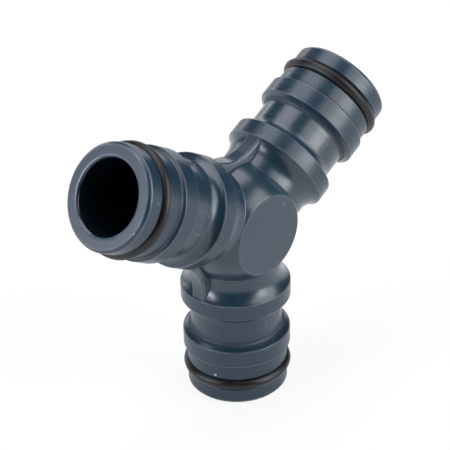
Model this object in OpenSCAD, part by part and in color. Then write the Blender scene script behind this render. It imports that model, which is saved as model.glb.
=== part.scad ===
// Three-way hose connector for push-on garden hose couplings, in millimetres.
// One moulding has three equal spigots at 120 degrees round a ball-shaped hub with two flats,
// joined by thin curved webs, and each spigot carries a rubber seal ring in a groove.
// It stands on the end face of the lower spigot: +Z is up, all three spigots lie in the XZ plane,
// and the origin is the centre of that end face.

/* [Spigot lengths, counted from the end face inwards] */
// Distance from the hub centre to the end face of each spigot
reach = 28.9; // [28:0.1:36]
// Length of the nose, from the end face to the seal groove
nose_len = 2.7; // [2:0.05:4]
// Width of the seal groove
groove_w = 1.85; // [1.75:0.05:2.4]
// Length of the land between the seal groove and the collar
land_len = 2.45; // [1.5:0.05:3]
// Length of the bevel at the front of the collar
collar_bevel = 0.2; // [0.1:0.05:0.5]
// Length of the collar behind its bevel
collar_len = 2.8; // [2:0.1:3.5]
// Length of the steep shoulder behind the collar
shoulder_len = 0.6; // [0.4:0.05:1.2]
// Length of the neck that the coupling's claws grip, up to the foot of the flange
neck_len = 3.55; // [3:0.05:4.5]
// Length of the hollow sweep from the neck up to the flange
front_sweep = 1.75; // [1.4:0.05:2.5]
// Length of the flange rim
flange_len = 2.6; // [1.5:0.1:3.5]
// Length of the hollow sweep from the flange down to the tube at the hub
rear_sweep = 2.7; // [2:0.05:3]

/* [Spigot diameters] */
// Diameter of the nose and of the land
nose_d = 15.8; // [15.4:0.1:16.4]
// Diameter of the collar that the claws catch behind
collar_d = 16.85; // [16.6:0.05:17.6]
// Diameter of the flange that stops the coupling
flange_d = 17.15; // [16.8:0.05:19]
// Outside diameter of the tube: the neck and the stretch at the hub
tube_d = 14.3; // [13.8:0.05:14.5]
// Bore of every spigot
bore_d = 11.1; // [9:0.1:12]
// Bevel round the end face
nose_bevel = 0.48; // [0.2:0.02:0.8]
// Rounding of that bevel at the end face, and of the edges beside the groove
bevel_round = 0.15; // [0.08:0.01:0.2]
// Rounding between that bevel and the side of the nose
nose_round = 0.45; // [0.1:0.05:0.6]
// Rounding at the mouth of the bore
mouth_round = 0.55; // [0.1:0.05:0.6]
// Rounding of the rims of collar and flange
rim_round = 0.12; // [0.08:0.01:0.2]
// Fillet at the foot of the shoulder behind the collar
shoulder_round = 0.4; // [0.2:0.05:0.6]

/* [Seal ring] */
// Thickness of the rubber ring's round section
ring_w = 1.7; // [1.5:0.05:1.75]
// How far the ring stands out of the nose
ring_proud = 0.57; // [0.4:0.01:0.7]
// Gap between the ring and the floor of its groove
ring_gap = 0.02; // [0.01:0.01:0.05]

/* [Hub] */
// Diameter of the ball that the spigots grow out of
ball_d = 19.4; // [19:0.1:20.5]
// Distance across the two round flats of the ball
flats_w = 14.5; // [14.5:0.05:15.2]
// Fillet between the ball and the spigots
hub_round = 0.25; // [0.15:0.05:0.4]

/* [Webs] */
// Thickness of the webs between the spigots
web_t = 2.6; // [1.5:0.1:3.5]
// Distance from the hub centre to the lowest point of a web's curved edge
web_reach = 10.65; // [10.3:0.05:11.4]
// How far a web ends below the rim of the flanges
web_inset = 0.25; // [0.15:0.05:0.6]
// Rounding along the curved edge of a web
web_round = 0.35; // [0.15:0.05:0.6]

/* [Hidden] */
$fn = 96;
PLASTIC = "#3c4854";
RUBBER = "#1e1c1c";

// The direction of each spigot, as a turn about Y from straight up
bottom_angle = 180;
left_angle = -60;
right_angle = 60;

nose_r = nose_d / 2;
collar_r = collar_d / 2;
flange_r = flange_d / 2;
tube_r = tube_d / 2;
bore_r = bore_d / 2;
ball_r = ball_d / 2;
past = 1; // how far a cutter runs past what it cuts

// Places along a spigot, as distances from the hub centre
groove_out = reach - nose_len;
groove_in = groove_out - groove_w;
land_in = groove_in - land_len;
collar_out = land_in - collar_bevel;
collar_in = collar_out - collar_len;
shoulder_in = collar_in - shoulder_len;
flange_foot = shoulder_in - neck_len;
flange_out = flange_foot - front_sweep;
flange_in = flange_out - flange_len;
sweep_foot = flange_in - rear_sweep;

// The seal ring: centre of its round section, and the groove floor that it sits on
ring_section_r = ring_w / 2;
ring_r = nose_r + ring_proud - ring_section_r;
groove_r = ring_r - ring_section_r - ring_gap;
ring_at = (groove_out + groove_in) / 2;

// The curved edge of a web is an arc through its lowest point and through both flanges
function on_web(along, out) = [
    along * sin(right_angle) - out * cos(right_angle),
    along * cos(right_angle) + out * sin(right_angle)
];
web_end = on_web(flange_in, flange_r - web_inset);
web_rise = web_end[1] - web_reach;
web_arc_r = (web_end[0] * web_end[0] + web_rise * web_rise) / (2 * web_rise);
web_arc_at = web_reach + web_arc_r;

// How far the centre of a round or a fillet lies from the sharp corner of two faces with these normals
function corner_shift(normal_a, normal_b, r) = r * (normal_a + normal_b) / (1 + normal_a * normal_b);

// Places its children along one spigot: +Z runs from the hub centre to the end face
module along_spigot(angle) {
    translate([0, 0, reach]) rotate([0, angle, 0]) children();
}

// Half section of a disc from its sharp outline, lower face first, with a round of its own at every corner
module soft_disc(outline, rounds) {
    last = len(outline) - 1;
    normals = [
        for (i = [0:last - 1])
            let (run = outline[i + 1] - outline[i]) [run[1], -run[0]] / norm(run)
    ];
    centres = [
        for (i = [1:last - 1])
            outline[i] - corner_shift(normals[i - 1], normals[i], rounds[i - 1])
    ];
    polygon([
        outline[0],
        for (i = [1:last - 1]) each [
            centres[i - 1] + rounds[i - 1] * normals[i - 1],
            centres[i - 1] + rounds[i - 1] * normals[i]
        ],
        outline[last]
    ]);
    for (i = [0:last - 2]) translate(centres[i]) circle(rounds[i]);
}

// Half section of the fillet in the corner between two faces with these unit normals
module fillet_section(corner, normal_a, normal_b, fillet_r) {
    centre = corner + corner_shift(normal_a, normal_b, fillet_r);
    difference() {
        polygon([corner, centre - fillet_r * normal_a, centre, centre - fillet_r * normal_b]);
        translate(centre) circle(fillet_r);
    }
}

// Half section of a hollow sweep that leaves the tube smoothly at foot and meets the flange rim at top
module sweep_section(foot, top) {
    into_flange = top + sign(top - foot) * rim_round;
    rise = flange_r - rim_round - tube_r;
    run = abs(top - foot);
    arc_r = (run * run + rise * rise) / (2 * rise);
    difference() {
        translate([0, min(foot, into_flange)]) square([tube_r + rise, abs(into_flange - foot)]);
        translate([tube_r + arc_r, foot]) circle(arc_r, $fn = 4 * $fn);
    }
}

// Half section of the hollow corner between the ball of the hub and the tube that leaves it
module hub_fillet_section() {
    out_r = tube_r + hub_round;
    along = sqrt(pow(ball_r + hub_round, 2) - out_r * out_r);
    touch = [out_r, along] * ball_r / (ball_r + hub_round);
    difference() {
        polygon([[0, 0], touch, [out_r, along], [tube_r, along], [0, along]]);
        translate([out_r, along]) circle(hub_round);
    }
}

// Half section of the collar, whose bevel runs on into the land, with the steep shoulder behind it
module collar_section() {
    rim = [collar_r, collar_out];
    into_land = 2 * [nose_r, land_in] - rim;
    soft_disc(
        [[0, collar_in], [collar_r, collar_in], rim, into_land, [0, into_land[1]]],
        [rim_round, rim_round, rim_round]
    );
    foot = [tube_r, shoulder_in];
    head = [collar_r - rim_round, collar_in];
    slope = (head - foot) / norm(head - foot);
    polygon([[0, foot[1]], foot, head, [0, head[1]]]);
    fillet_section(foot, [1, 0], [slope[1], -slope[0]], shoulder_round);
}

// Half section of the solid spigot from the hub centre to its end face
module spigot_section() {
    square([tube_r, groove_in]);
    square([groove_r, groove_out + nose_len / 2]);
    hub_fillet_section();
    sweep_section(sweep_foot, flange_in);
    soft_disc(
        [[0, flange_in], [flange_r, flange_in], [flange_r, flange_out], [0, flange_out]],
        [rim_round, rim_round]
    );
    sweep_section(flange_foot, flange_out);
    collar_section();
    soft_disc(
        [[0, collar_out], [nose_r, collar_out], [nose_r, groove_in], [0, groove_in]],
        [bevel_round, bevel_round]
    );
    soft_disc([
        [0, groove_out], [nose_r, groove_out], [nose_r, reach - nose_bevel],
        [nose_r - nose_bevel, reach], [0, reach]
    ], [bevel_round, nose_round, bevel_round]);
}

module spigot() {
    rotate_extrude() intersection() {
        spigot_section();
        square([flange_r + past, reach]);
    }
}

// The waterway of one spigot, with the rounding that it has at its mouth
module waterway() {
    cylinder(h = reach + past, r = bore_r);
    rotate_extrude() translate([0, reach - mouth_round]) difference() {
        square([bore_r + mouth_round, mouth_round + past]);
        translate([bore_r + mouth_round, 0]) circle(mouth_round);
    }
}

// The ball of the hub, cut off flat at the front and at the back
module hub() {
    translate([0, 0, reach]) intersection() {
        sphere(ball_r);
        cube([2 * ball_d, flats_w, 2 * ball_d], center = true);
    }
}

// The round tool that leaves the curved edge of a web with its two rounded arrises
module web_cutter() {
    half_t = web_t / 2;
    rotate([90, 0, 0]) rotate_extrude($fn = 2 * $fn) {
        translate([0, -half_t - past]) square([web_arc_r, web_t + 2 * past]);
        for (side = [0, 1]) mirror([0, side]) difference() {
            translate([0, half_t - web_round]) square([web_arc_r + web_round, web_round + past]);
            translate([web_arc_r + web_round, half_t - web_round]) circle(web_round);
        }
    }
}

// The web between two neighbouring spigots, which stand at 60 degrees to its middle
module web(angle) {
    mid_flange = (flange_in + flange_out) / 2;
    root = on_web(mid_flange, tube_r);
    top = on_web(mid_flange, flange_r - web_inset);
    along_spigot(angle) difference() {
        rotate([90, 0, 0]) linear_extrude(web_t, center = true)
            polygon([[0, 0], root, top, [-top[0], top[1]], [-root[0], root[1]]]);
        translate([0, 0, web_arc_at]) web_cutter();
    }
}

module body() {
    color(PLASTIC) difference() {
        union() {
            hub();
            for (angle = [bottom_angle, left_angle, right_angle]) along_spigot(angle) spigot();
            for (angle = [bottom_angle, left_angle, right_angle]) web(angle + 180);
        }
        for (angle = [bottom_angle, left_angle, right_angle]) along_spigot(angle) waterway();
    }
}

module seal_ring(angle) {
    color(RUBBER) along_spigot(angle)
        rotate_extrude() translate([ring_r, ring_at]) circle(ring_section_r);
}

module seal_ring_bottom() { seal_ring(bottom_angle); }
module seal_ring_left() { seal_ring(left_angle); }
module seal_ring_right() { seal_ring(right_angle); }

body();
seal_ring_bottom();
seal_ring_left();
seal_ring_right();
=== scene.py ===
"""Three-way hose connector: a dark blue-grey moulding with a rubber seal ring on each of its spigots."""

import math

import bpy
import numpy as np
from mathutils import Matrix, Vector


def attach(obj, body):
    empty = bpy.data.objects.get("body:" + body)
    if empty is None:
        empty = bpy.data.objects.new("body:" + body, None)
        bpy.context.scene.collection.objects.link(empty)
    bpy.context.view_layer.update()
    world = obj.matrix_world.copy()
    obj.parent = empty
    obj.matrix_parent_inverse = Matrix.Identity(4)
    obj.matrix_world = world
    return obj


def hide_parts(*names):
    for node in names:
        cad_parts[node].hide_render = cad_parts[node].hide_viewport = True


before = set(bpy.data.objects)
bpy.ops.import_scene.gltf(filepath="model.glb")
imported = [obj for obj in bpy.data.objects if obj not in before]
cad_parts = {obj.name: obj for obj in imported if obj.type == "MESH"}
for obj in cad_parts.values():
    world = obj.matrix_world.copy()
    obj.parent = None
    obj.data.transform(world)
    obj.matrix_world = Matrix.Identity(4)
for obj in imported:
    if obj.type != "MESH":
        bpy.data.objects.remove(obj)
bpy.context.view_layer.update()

# The photograph was taken with a long lens from the front left, about 30 degrees above the hub, where
# the three spigots meet. The lens points a little to the left of the hub's centre and below it.
hub = Vector((0.0, 0.0, 0.0289))
turn, rise, tilt = (math.radians(angle) for angle in (-45.212, 30.314, -1.632))
camera_distance, left_of_hub, below_hub = 0.250974, 0.001357, 0.00087


def direction(azimuth, elevation):
    """The way out from the hub at this azimuth, counted from the front to the right, and elevation."""
    level_part = math.cos(elevation)
    return Vector((math.sin(azimuth) * level_part, -math.cos(azimuth) * level_part, math.sin(elevation)))


to_camera = direction(turn, rise)
level = Vector((math.cos(turn), math.sin(turn), 0.0))
upright = to_camera.cross(level)
picture_right = math.cos(tilt) * level + math.sin(tilt) * upright
picture_up = math.cos(tilt) * upright - math.sin(tilt) * level
lens = bpy.data.cameras.new("photo_camera")
lens.sensor_width = 36.0
lens.lens = 132.06
lens.clip_start = 0.01
camera = bpy.data.objects.new("photo_camera", lens)
stands_at = hub + to_camera * camera_distance - picture_right * left_of_hub - picture_up * below_hub
looks = Matrix((picture_right, picture_up, to_camera)).transposed().to_4x4()
camera.matrix_world = Matrix.Translation(stands_at) @ looks
bpy.context.scene.collection.objects.link(camera)
bpy.context.scene.camera = camera

# The floor is a plain white table that runs on behind the object, a hair below its foot. It shows
# almost white to the camera, less so in the gloss of the object, and keeps a faint shadow.
table_half, table_drop = 2.0, 0.00004
white_to_camera, white_in_gloss = 0.88, 0.42


def put(tree, kind, *sources, **settings):
    """Adds a shader node. Its inputs take the sources in order: sockets are linked, values are set."""
    node = tree.nodes.new("ShaderNode" + kind)
    for name, value in settings.items():
        setattr(node, name, value)
    for socket, source in zip(node.inputs, sources):
        if isinstance(source, bpy.types.NodeSocket):
            tree.links.new(source, socket)
        else:
            socket.default_value = source
    return node


def calculate(tree, operation, *sources):
    """A Math node's result."""
    return put(tree, "Math", *sources, operation=operation).outputs[0]


def ramp(tree, value, low, high, out_low=0.0, out_high=1.0):
    """A smooth step from out_low to out_high while value goes from low to high."""
    step = put(tree, "MapRange", value, low, high, out_low, out_high, interpolation_type="SMOOTHSTEP")
    return step.outputs[0]


corner_signs = ((-1, -1), (1, -1), (1, 1), (-1, 1))
table_corners = [(x * table_half, y * table_half, -table_drop) for x, y in corner_signs]
table_mesh = bpy.data.meshes.new("table_top")
table_mesh.from_pydata(table_corners, [], [(0, 1, 2, 3)])
table_top = bpy.data.objects.new("table_top", table_mesh)
bpy.context.scene.collection.objects.link(table_top)
table_white = bpy.data.materials.new("table_white")
table_white.use_nodes = True
tree = table_white.node_tree
tree.nodes.clear()
ray = put(tree, "LightPath")
in_gloss = calculate(tree, "MULTIPLY", ray.outputs["Is Glossy Ray"], white_in_gloss)
shown = calculate(tree, "MAXIMUM", ray.outputs["Is Camera Ray"], in_gloss)
card = put(tree, "BsdfDiffuse", (0.8, 0.8, 0.8, 1.0)).outputs[0]
white = put(tree, "Emission", (1.0, 1.0, 1.0, 1.0), 1.0).outputs[0]
blend = put(tree, "MixShader", calculate(tree, "MULTIPLY", shown, white_to_camera), card, white)
put(tree, "OutputMaterial", blend.outputs[0])
table_mesh.materials.append(table_white)

# Soft boxes light it from both sides of the camera and from above and behind, and the room, which
# the camera sees white, adds a little.
room_light = 0.03
room = bpy.data.worlds.new("room")
room.use_nodes = True
bpy.context.scene.world = room
tree = room.node_tree
background = tree.nodes["Background"]
background.inputs["Color"].default_value = (1.0, 1.0, 1.0, 1.0)
seen = put(tree, "LightPath").outputs["Is Camera Ray"]
tree.links.new(ramp(tree, seen, 0.0, 1.0, room_light, 1.0), background.inputs["Strength"])


def soft_box(name, azimuth, elevation, width, tall, strength, tint=(1.0, 1.0, 1.0)):
    """A rectangular lamp that faces the hub from this direction, in degrees.

    Strength is the level at which it would light a white card at the hub, if it were a small lamp.
    """
    distance = 0.9
    aim = direction(math.radians(azimuth), math.radians(elevation))
    lamp = bpy.data.lights.new(name, "AREA")
    lamp.shape = "RECTANGLE"
    lamp.size, lamp.size_y = width, tall
    lamp.color = tint
    lamp.energy = strength * (math.pi * distance) ** 2
    box = bpy.data.objects.new(name, lamp)
    faces_hub = aim.to_track_quat("Z", "Y").to_matrix().to_4x4()
    box.matrix_world = Matrix.Translation(hub + aim * distance) @ faces_hub
    bpy.context.scene.collection.objects.link(box)


soft_box("right_box", 25, 29, 0.77, 0.98, 1.00, (0.97, 1.0, 1.02))
soft_box("right_core", 14, 16, 0.32, 0.46, 0.20)
soft_box("left_window", -116, 12, 0.47, 0.34, 0.42, (0.95, 0.98, 1.10))
soft_box("left_strip", -101, 24, 0.16, 0.45, 0.26, (1.02, 0.99, 1.04))
soft_box("top_box", -177, 76, 1.29, 0.65, 1.03, (0.96, 0.98, 1.07))
soft_box("backdrop", 152, 12, 1.62, 0.20, 0.31)

# The moulding is one piece of satin blue-grey plastic: three spigots, a ball-shaped hub with two
# flats and three webs. Its mould was turned, so fine lines run round every spigot, and ejector
# pins have left a faint circle on the front of each neck.
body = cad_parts["body"]
spigot_turns = {"bottom": 180, "left": -60, "right": 60}


def new_group(name, inputs, outputs):
    """A shader group with these float inputs and outputs, and its two end nodes."""
    group = bpy.data.node_groups.new(name, "ShaderNodeTree")
    for label, value in inputs.items():
        socket = group.interface.new_socket(label, in_out="INPUT", socket_type="NodeSocketFloat")
        socket.default_value = value
    for label in outputs:
        group.interface.new_socket(label, in_out="OUTPUT", socket_type="NodeSocketFloat")
    return group, group.nodes.new("NodeGroupInput"), group.nodes.new("NodeGroupOutput")


def place_group(tree, group, *sources, **values):
    """The outputs of a group that is put into a material, with sources in order and values by name."""
    node = put(tree, "Group", *sources, node_tree=group)
    for label, value in values.items():
        node.inputs[label].default_value = value
    return node.outputs


def product(tree, result, *others):
    """All of these multiplied together."""
    for other in others:
        result = calculate(tree, "MULTIPLY", result, other)
    return result


def greatest(tree, result, *others):
    """The greatest of these."""
    for other in others:
        result = calculate(tree, "MAXIMUM", result, other)
    return result


def fade(tree, value, low, high):
    """A smooth step from 1 down to 0 while value goes from low to high."""
    return ramp(tree, value, low, high, 1.0, 0.0)


# The materials reckon in millimetres. Along is the distance from the hub centre along the nearest
# spigot, and Out the distance from its axis. Across is the distance behind the plane of the
# spigots, and negative in front of it.
metre = 1000.0
spigot_places, _, ends = new_group("spigot_places", {}, ("Along", "Out", "Across"))
position = put(spigot_places, "TexCoord").outputs["Object"]
from_centre = put(spigot_places, "VectorMath", position, (metre,) * 3, tuple(-metre * hub),
                  operation="MULTIPLY_ADD").outputs[0]
reached = []
for angle in map(math.radians, spigot_turns.values()):
    way = (math.sin(angle), 0.0, math.cos(angle))
    reach = put(spigot_places, "VectorMath", from_centre, way, operation="DOT_PRODUCT")
    reached.append(reach.outputs["Value"])
along = greatest(spigot_places, *reached)
far = put(spigot_places, "VectorMath", from_centre, operation="LENGTH").outputs["Value"]
far_squared, along_squared = product(spigot_places, far, far), product(spigot_places, along, along)
out_squared = calculate(spigot_places, "SUBTRACT", far_squared, along_squared)
out = calculate(spigot_places, "SQRT", greatest(spigot_places, out_squared, 0.0))
across = put(spigot_places, "SeparateXYZ", from_centre).outputs["Y"]
for socket, source in zip(ends.inputs, (along, out, across)):
    spigot_places.links.new(source, socket)

# Turned lines are noise that is stretched round the spigot. In millimetres, it changes about once in
# each Spacing along and outwards, and about once in 1 / Drift across.
line_inputs = {"Along": 0.0, "Out": 0.0, "Across": 0.0, "Spacing": 0.3, "Drift": 0.04}
turned_lines, given, ends = new_group("turned_lines", line_inputs, ("Height",))
pitch = calculate(turned_lines, "DIVIDE", 1.0, given.outputs["Spacing"])
lie = put(turned_lines, "CombineXYZ",
          product(turned_lines, given.outputs["Along"], pitch),
          product(turned_lines, given.outputs["Out"], pitch),
          product(turned_lines, given.outputs["Across"], given.outputs["Drift"])).outputs[0]
lines = put(turned_lines, "TexNoise", lie)
for label, value in (("Scale", 1.0), ("Detail", 3.0), ("Roughness", 0.6)):
    lines.inputs[label].default_value = value
turned_lines.links.new(lines.outputs["Fac"], ends.inputs["Height"])

# Fine grain is even noise, for the skin of plastic and rubber. Size is in millimetres.
fine_grain, given, ends = new_group("fine_grain", {"Size": 0.2, "Detail": 2.0}, ("Height",))
grain = put(fine_grain, "TexNoise", put(fine_grain, "TexCoord").outputs["Object"])
fine_grain.links.new(calculate(fine_grain, "DIVIDE", metre, given.outputs["Size"]), grain.inputs["Scale"])
fine_grain.links.new(given.outputs["Detail"], grain.inputs["Detail"])
fine_grain.links.new(grain.outputs["Fac"], ends.inputs["Height"])

# Dust is a scatter of round specks, one to each cell of a Voronoi pattern, where it meets the
# surface. Spacing and Speck, the radius of a speck, are in millimetres.
dust, given, ends = new_group("dust", {"Spacing": 2.0, "Speck": 0.06}, ("Mask",))
cells = put(dust, "TexVoronoi", put(dust, "TexCoord").outputs["Object"])
dust.links.new(calculate(dust, "DIVIDE", metre, given.outputs["Spacing"]), cells.inputs["Scale"])
speck_edge = calculate(dust, "DIVIDE", given.outputs["Speck"], given.outputs["Spacing"])
speck = fade(dust, cells.outputs["Distance"], product(dust, speck_edge, 0.5), speck_edge)
dust.links.new(speck, ends.inputs["Mask"])


def band(tree, value, centre, half_width, soft):
    """1 where value lies within half_width of centre, and 0 further off than soft beyond that."""
    off = calculate(tree, "ABSOLUTE", calculate(tree, "SUBTRACT", value, centre))
    return fade(tree, off, half_width, half_width + soft)


def near(tree, place, points, radius, soft):
    """1 within radius of the nearest of these points, and 0 further off than soft beyond that."""
    nearest = None
    for point in points:
        apart = put(tree, "VectorMath", place, point, operation="DISTANCE").outputs["Value"]
        nearest = apart if nearest is None else calculate(tree, "MINIMUM", nearest, apart)
    return fade(tree, nearest, radius, radius + soft)


def new_material(name, refraction):
    """A material of this refractive index, with its node tree and its shader."""
    material = bpy.data.materials.new(name)
    material.use_nodes = True
    shader = material.node_tree.nodes["Principled BSDF"]
    shader.inputs["IOR"].default_value = refraction
    return material, material.node_tree, shader


moulding, tree, shader = new_material("moulded_plastic", refraction=1.55)
along, out, across = place_group(tree, spigot_places)
turned = place_group(tree, turned_lines, along, out, across, Spacing=0.3, Drift=0.04)[0]
streaks = place_group(tree, turned_lines, along, out, across, Spacing=0.26, Drift=0.3)[0]
broad = place_group(tree, turned_lines, along, out, across, Spacing=1.1, Drift=0.1)[0]
grain = place_group(tree, fine_grain, Size=0.16, Detail=2.0)[0]
ripple = place_group(tree, fine_grain, Size=2.4, Detail=1.0)[0]
cloud = place_group(tree, fine_grain, Size=7.0, Detail=3.0)[0]
specks = place_group(tree, dust, Spacing=2.2, Speck=0.06)[0]
position = put(tree, "TexCoord").outputs["Object"]
spot = put(tree, "VectorMath", position, (metre,) * 3, operation="MULTIPLY").outputs[0]
parts = put(tree, "SeparateXYZ", spot).outputs
sideways, upwards = parts["X"], parts["Z"]
from_hub = put(tree, "VectorMath", spot, tuple(metre * hub), operation="DISTANCE").outputs["Value"]
from_plane = calculate(tree, "ABSOLUTE", across)
on_front = fade(tree, across, -6.0, -5.0)
left_side, right_side = (-6.0, -5.0), (5.0, 6.0)

# The turned lines end at the hub, whose ball, flats and webs were cut in another way. They are
# deeper on the right spigot, whose part of the mould was the most worn.
ball_end, spigot_start, flange_rim, web_start = 6.4, 7.0, 8.62, 8.72
on_spigot = product(tree, ramp(tree, along, ball_end, spigot_start), fade(tree, out, flange_rim, web_start))
line_depth = product(tree, on_spigot, ramp(tree, sideways, *right_side, 5.5, 7.0))

# One deeper line and three fine ones run round each neck, where the turning tool was set down again.
deep_line_at, fine_lines = 17.0, ((16.75, 0.35), (16.45, 0.3), (16.1, 0.3))
neck_line = band(tree, along, deep_line_at, half_width=0.03, soft=0.09)
for line_at, share in fine_lines:
    fine_line = band(tree, along, line_at, half_width=0.02, soft=0.08)
    neck_line = calculate(tree, "MULTIPLY_ADD", fine_line, share, neck_line)
neck_line = product(tree, neck_line, fade(tree, out, 7.3, 7.5))

# The ejector pins stood square to the plane of the spigots, in the middle of each neck. The one of
# the lower spigot has dragged, and has left short upright streaks inside its circle, which are
# raised a little and painted lighter as glints.
pin_along, pin_radius, drag_stretch = 16.0, 1.75, (7.0, 7.0, 1.6)
ahead = calculate(tree, "SUBTRACT", along, pin_along)
beside_squared = calculate(tree, "SUBTRACT", product(tree, out, out), product(tree, across, across))
apart_squared = calculate(tree, "MULTIPLY_ADD", ahead, ahead, beside_squared)
from_pin = calculate(tree, "SQRT", greatest(tree, apart_squared, 0.0))
pin_rim = product(tree, band(tree, from_pin, pin_radius, half_width=0.03, soft=0.13), on_front)
drag = put(tree, "TexNoise", put(tree, "VectorMath", spot, drag_stretch, operation="MULTIPLY").outputs[0])
drag.inputs["Scale"].default_value = 1.0
in_pin, on_lower = fade(tree, from_pin, 1.1, pin_radius), fade(tree, upwards, 19.0, 20.0)
drag_and_glint = product(tree, ramp(tree, drag.outputs["Fac"], 0.5, 0.66), in_pin, on_front, on_lower)

# Painted highlights lighten these rims, where light catches their small rounds: on the spigots, where
# places are along and out, those of the mouth, nose, collar and flange, and on the hub, where places
# are from the plane and from the hub's centre, those of the flats. They also lighten the pins' circles
# and two lines on each web's curved edge.
nose_rims = ((28.84, 5.9, 0.0), (28.84, 7.42, 0.0), (28.42, 7.86, 0.0))
collar_rims = ((21.68, 8.38, 0.0), (21.9, 7.95, 0.0), (18.92, 8.38, 0.0))
flange_rims = ((12.97, 8.53, 0.0), (10.43, 8.53, 0.0))
flat_rims = ((7.22, 9.67, 0.0),)
web_lines_at = (1.27, 1.0)
section = put(tree, "CombineXYZ", along, out).outputs[0]
turned_rim = near(tree, section, nose_rims + collar_rims + flange_rims, radius=0.07, soft=0.13)
hub_section = put(tree, "CombineXYZ", from_plane, from_hub).outputs[0]
flat_rim = product(tree, near(tree, hub_section, flat_rims, radius=0.05, soft=0.16), 0.5)
web_edge = product(tree, ramp(tree, from_hub, 9.8, 9.95), fade(tree, along, 10.2, 10.35))
web_lines = [band(tree, from_plane, line_at, half_width=0.01, soft=0.05) for line_at in web_lines_at]
web_rim = product(tree, calculate(tree, "ADD", *web_lines), web_edge, 1.6)
pin_highlight = product(tree, pin_rim, ramp(tree, sideways, *left_side, 0.4, 0.25))
uneven = ramp(tree, ripple, 0.35, 0.6, 0.45, 1.0)
rim_highlight = product(tree, greatest(tree, turned_rim, flat_rim, pin_highlight, web_rim), uneven)

# Four small nicks, a larger flake low on the lower spigot and one short scratch on the front flat
# show raw, whitish plastic. Places are in the part's own frame, and noise tears the nicks' edges.
nick_places = ((-14.21, -6.79, 35.38), (-21.50, 3.08, 49.35), (-26.34, -6.69, 40.82), (-22.23, -7.51, 44.18))
flake_place = (-7.34, -2.32, 5.24)
scratch_way, scratch_side = (0.540, 0.0, 0.8415), (-0.8415, 0.0, 0.540)
jags = put(tree, "TexNoise", spot).outputs["Color"]
jags = put(tree, "VectorMath", jags, (0.3,) * 3, operation="MULTIPLY").outputs[0]
torn = put(tree, "VectorMath", spot, jags, operation="ADD").outputs[0]
nicks = product(tree, near(tree, torn, nick_places, radius=0.07, soft=0.08), 0.5)
flake = near(tree, torn, (flake_place,), radius=0.14, soft=0.12)
on_line = put(tree, "VectorMath", spot, scratch_way, operation="DOT_PRODUCT").outputs["Value"]
off_line = put(tree, "VectorMath", spot, scratch_side, operation="DOT_PRODUCT").outputs["Value"]
scratch = product(tree, band(tree, on_line, 29.47, half_width=0.3, soft=0.2),
                  band(tree, off_line, 15.0, half_width=0.02, soft=0.06),
                  ramp(tree, across, -7.2, -7.0, 0.5, 0.0))
raw = greatest(tree, nicks, flake, scratch)

# A painted shade line darkens the corner in front of the right spigot's collar, where a fine groove
# is cut. The other two have a fine bead there. The core pins that made the waterways were polished,
# so the bores are smooth, and painted shade darkens them.
collar_corner = band(tree, along, 21.95, half_width=0.07, soft=0.08)
collar_shade = product(tree, collar_corner, ramp(tree, sideways, *right_side))
corner_step = ramp(tree, sideways, *right_side, 16.0, -45.0)
# In the bores the colour is darkened as painted shade; from the mouths inwards the satin is smoother.
in_bore, in_mouth = fade(tree, out, 5.6, 5.7), fade(tree, out, 5.9, 6.1)


def paint(tree, shader, ground, layers):
    """Gives the shader this ground colour with layers over it, each a colour, its mask and its strength."""
    shade = (*ground, 1.0)
    for colour, mask, strength in layers:
        shade = put(tree, "MixRGB", product(tree, mask, strength), shade, (*colour, 1.0)).outputs[0]
    tree.links.new(shade, shader.inputs["Base Color"])


# The black of the bores and of the collar corner is painted shade, the light blue of the rims is painted
# highlight, and the pale blue of the drag streaks is partly a painted glint.
deep_blue, cloudy_blue = (0.0078, 0.0242, 0.0420), (0.0097, 0.0272, 0.0466)
bore_shade_black, shade_black = (0.002, 0.002, 0.002), (0.002, 0.006, 0.012)
highlight_blue, drag_glint_blue, raw_white = (0.20, 0.24, 0.28), (0.25, 0.27, 0.30), (0.50, 0.55, 0.60)
dust_grey = (0.35, 0.37, 0.40)
paint(tree, shader, deep_blue, (
    (cloudy_blue, ramp(tree, cloud, 0.3, 0.7), 1.0),
    (bore_shade_black, in_bore, 0.75),
    (highlight_blue, rim_highlight, 0.30),
    (shade_black, collar_shade, 0.9),
    (drag_glint_blue, drag_and_glint, 0.20),
    (dust_grey, specks, 0.5),
    (raw_white, raw, 0.8),
))

# The hub and the hollows have a clear gloss over the satin. It is missing on the nose, collar and
# flange, which slide in the coupling, in the bores and in the dull fillet behind the collar. It is
# weak on the lower neck, and a little weaker on the flats than on the ball.
sliding = greatest(tree, ramp(tree, along, 18.8, 19.0), band(tree, along, 11.7, half_width=1.25, soft=0.1))
dull_fillet = product(tree, band(tree, along, 18.2, half_width=0.25, soft=0.25), fade(tree, out, 7.55, 7.9))
lower_neck = ramp(tree, upwards, 14.4, 15.2, 0.8, 0.0)
on_flat = product(tree, ramp(tree, from_plane, 7.16, 7.22), fade(tree, from_hub, 9.72, 9.8), 0.3)
plain = greatest(tree, sliding, in_bore, on_flat, dull_fillet, lower_neck)
clear_gloss = product(tree, calculate(tree, "SUBTRACT", 1.0, plain), 0.30)
tree.links.new(clear_gloss, shader.inputs["Coat Weight"])
shader.inputs["Coat Roughness"].default_value = 0.23

# The satin differs a little from line to line, mostly on the right spigot. It is duller where the
# coupling slides and in the dull fillet, and brighter in the mouths and bores.
streaked = product(tree, on_spigot, ramp(tree, sideways, *right_side, 0.09, 0.32))
satin = ramp(tree, grain, 0.3, 0.7, 0.277, 0.303)
for mask, change in (
    (on_spigot, ramp(tree, broad, 0.35, 0.65, -0.015, 0.015)),
    (sliding, 0.03),
    (streaked, calculate(tree, "SUBTRACT", streaks, 0.5)),
    (dull_fillet, 0.26),
    (in_mouth, -0.10),
):
    satin = calculate(tree, "MULTIPLY_ADD", mask, change, satin)
tree.links.new(satin, shader.inputs["Roughness"])


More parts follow.
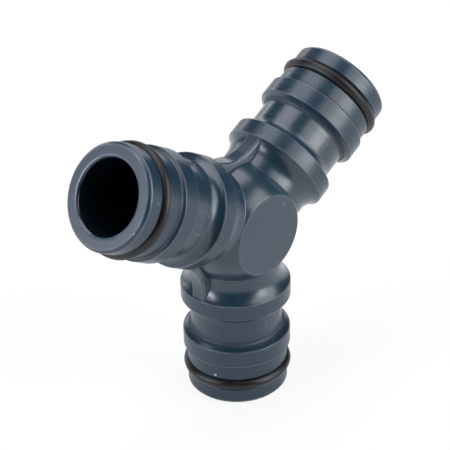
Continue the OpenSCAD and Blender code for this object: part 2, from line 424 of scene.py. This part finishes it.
def raise_skin(tree, shader, marks):
    """Gives the shader a relief that is the sum of these marks, each times its height in micrometres."""
    relief = 0.0
    for mark, micrometres in marks:
        relief = calculate(tree, "MULTIPLY_ADD", mark, micrometres, relief)
    skin = put(tree, "Bump")
    skin.inputs["Strength"].default_value = 1.0
    skin.inputs["Distance"].default_value = 1e-6
    tree.links.new(relief, skin.inputs["Height"])
    tree.links.new(skin.outputs[0], shader.inputs["Normal"])


raise_skin(tree, shader, (
    (turned, line_depth),
    (grain, 0.5),
    (ripple, 4.0),
    (neck_line, -8.0),
    (pin_rim, 8.0),
    (collar_corner, corner_step),
    (drag_and_glint, 1.5),
))
body.material_slots[0].material = moulding

# The seal rings are black rubber cords of round section, moulded as rings with a thin flash line
# round the outside, and stretched into the grooves of the noses.
ring_along, ring_radius, cord_radius = 0.025275, 0.00762, 0.00085
flash_height, flash_angle = 0.00002, 0.06
rubber_black, bloomed_black = (0.0058, 0.0054, 0.0076), (0.0096, 0.0086, 0.0108)
ring_dust = (0.30, 0.29, 0.27)
rubber, tree, shader = new_material("black_rubber", refraction=1.43)
along, out, across = place_group(tree, spigot_places)
turned = place_group(tree, turned_lines, along, out, across, Spacing=0.25, Drift=0.3)[0]
grain = place_group(tree, fine_grain, Size=0.14, Detail=3.0)[0]
bloom = place_group(tree, fine_grain, Size=2.5, Detail=4.0)[0]
specks = place_group(tree, dust, Spacing=1.6, Speck=0.06)[0]
paint(tree, shader, rubber_black, (
    (bloomed_black, ramp(tree, bloom, 0.35, 0.75), 1.0),
    (ring_dust, specks, 0.4),
))
bloom_dull, line_dull = ramp(tree, bloom, 0.3, 0.7, 0.31, 0.41), ramp(tree, turned, 0.35, 0.65, 0.0, 0.06)
tree.links.new(calculate(tree, "ADD", bloom_dull, line_dull), shader.inputs["Roughness"])
raise_skin(tree, shader, ((turned, 7.0), (grain, 2.0)))


def ring_surface(angle, around=240, section=64):
    """The ring of the spigot that is turned by this angle in degrees from straight up.

    It is a torus: a circle of the cord's radius is carried round the spigot's axis. At its outside
    the circle swells by the height of the flash, as a bell curve of the angle from there.
    """
    round_steps = np.linspace(0, 2 * np.pi, around, endpoint=False)
    section_steps = np.linspace(0, 2 * np.pi, section, endpoint=False)
    round_turn, section_turn = np.meshgrid(round_steps, section_steps, indexing="ij")
    off_outside = np.abs((section_turn + np.pi) % (2 * np.pi) - np.pi)
    swell = cord_radius + flash_height * np.exp(-((off_outside / flash_angle) ** 2))
    from_axis = ring_radius + swell * np.cos(section_turn)
    ahead = ring_along + swell * np.sin(section_turn)
    points = np.stack([from_axis * np.cos(round_turn), from_axis * np.sin(round_turn), ahead], axis=-1)
    sine, cosine = np.sin(np.radians(angle)), np.cos(np.radians(angle))
    lean = np.array([[cosine, 0, sine], [0, 1, 0], [-sine, 0, cosine]])
    points = points.reshape(-1, 3) @ lean.T + np.array(hub)
    i, j = np.meshgrid(np.arange(around), np.arange(section), indexing="ij")
    next_i, next_j = (i + 1) % around, (j + 1) % section
    corners = [i * section + j, next_i * section + j, next_i * section + next_j, i * section + next_j]
    return points, np.stack(corners, axis=-1).reshape(-1, 4)


for side, angle in spigot_turns.items():
    points, faces = ring_surface(angle)
    mesh = bpy.data.meshes.new("rubber_ring_" + side)
    mesh.from_pydata(points.tolist(), [], faces.tolist())
    mesh.shade_smooth()
    mesh.materials.append(rubber)
    ring = bpy.data.objects.new("rubber_ring_" + side, mesh)
    bpy.context.scene.collection.objects.link(ring)
    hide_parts("seal_ring_" + side)
    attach(ring, "root")

bpy.context.scene.view_settings.view_transform = "Standard"
